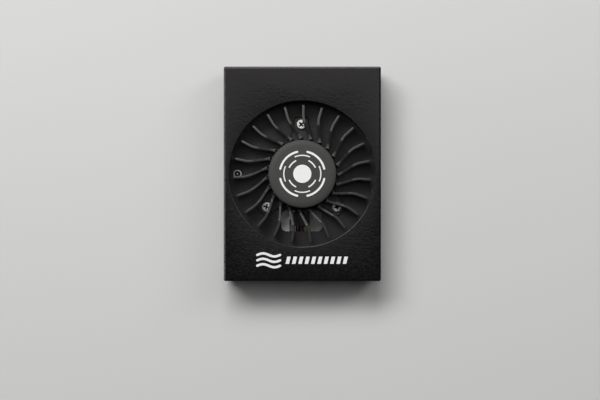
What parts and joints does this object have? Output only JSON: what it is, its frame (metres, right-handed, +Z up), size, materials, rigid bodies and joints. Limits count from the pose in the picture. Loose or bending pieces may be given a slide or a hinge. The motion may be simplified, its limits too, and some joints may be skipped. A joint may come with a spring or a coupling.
{
  "type": "active cooler",
  "caption": "Low-profile finned heatsink with a radial blower in a flat black cover, for cooling a small computer module.",
  "frame": {"origin": "middle of the footprint on the plane of the feet, on the fan's axis", "axes": "+Z up out of the air intake along the fan's axis, +Y along the length away from the lead's window, +X across"},
  "size_m": [0.051, 0.0696, 0.0135],
  "materials": {
    "cover_paint": "matte",
    "black_anodised": "satin",
    "black_plastic": "matte",
    "label_film": "matte",
    "white_print": "matte",
    "nickel": "satin",
    "steel": "satin",
    "lamination": "satin",
    "brass": "satin",
    "bronze": "matte",
    "copper_wire": "gloss",
    "magnet": "matte",
    "board": "satin",
    "chip": "matte",
    "white_nylon": "satin",
    "sleeve": "satin",
    "thermal_pad": "matte",
    "wire_brown": "satin",
    "wire_black": "satin",
    "wire_red": "satin",
    "wire_yellow": "satin"
  },
  "bodies": {
    "housing": {"bearing_tube": "brass", "coil_1": "copper_wire", "coil_2": "copper_wire", "coil_3": "copper_wire", "coil_4": "copper_wire", "cover_screw_1": "nickel", "cover_screw_2": "nickel", "cover_screw_3": "nickel", "cover_screw_4": "nickel", "driver_chip": "chip", "fan_bracket": "black_plastic", "fan_screw_1": "nickel", "fan_screw_2": "nickel", "fan_screw_3": "nickel", "hall_sensor": "chip", "heatsink_base": "black_anodised", "lead_black": "wire_black", "lead_brown": "wire_brown", "lead_red": "wire_red", "lead_sleeve": "sleeve", "lead_yellow": "wire_yellow", "lower_fin_bank": "black_anodised", "lower_insulator": "white_nylon", "memory_thermal_pad": "thermal_pad", "motor_board": "board", "plug_contact_1": "brass", "plug_contact_2": "brass", "plug_contact_3": "brass", "plug_contact_4": "brass", "plug_housing": "white_nylon", "power_thermal_pad": "thermal_pad", "processor_thermal_pad": "thermal_pad", "side_insert": "nickel", "side_pin": "nickel", "sleeve_bearing": "bronze", "stator_core": "lamination", "thrust_plate": "chip", "top_cover": "cover_paint", "upper_fin_bank": "black_anodised", "upper_insulator": "white_nylon"},
    "rotor": {"impeller": "black_plastic", "hub_label": "label_film", "rotor_cup": "steel", "rotor_magnet": "magnet", "rotor_shaft": "steel", "retaining_ring": "white_nylon"}
  },
  "joints": [
    {"name": "rotor_spin", "type": "hinge", "parent": "housing", "child": "rotor", "pos_m": [0, 0, 0.0078], "axis": [0, 0, 1], "continuous": true}
  ]
}
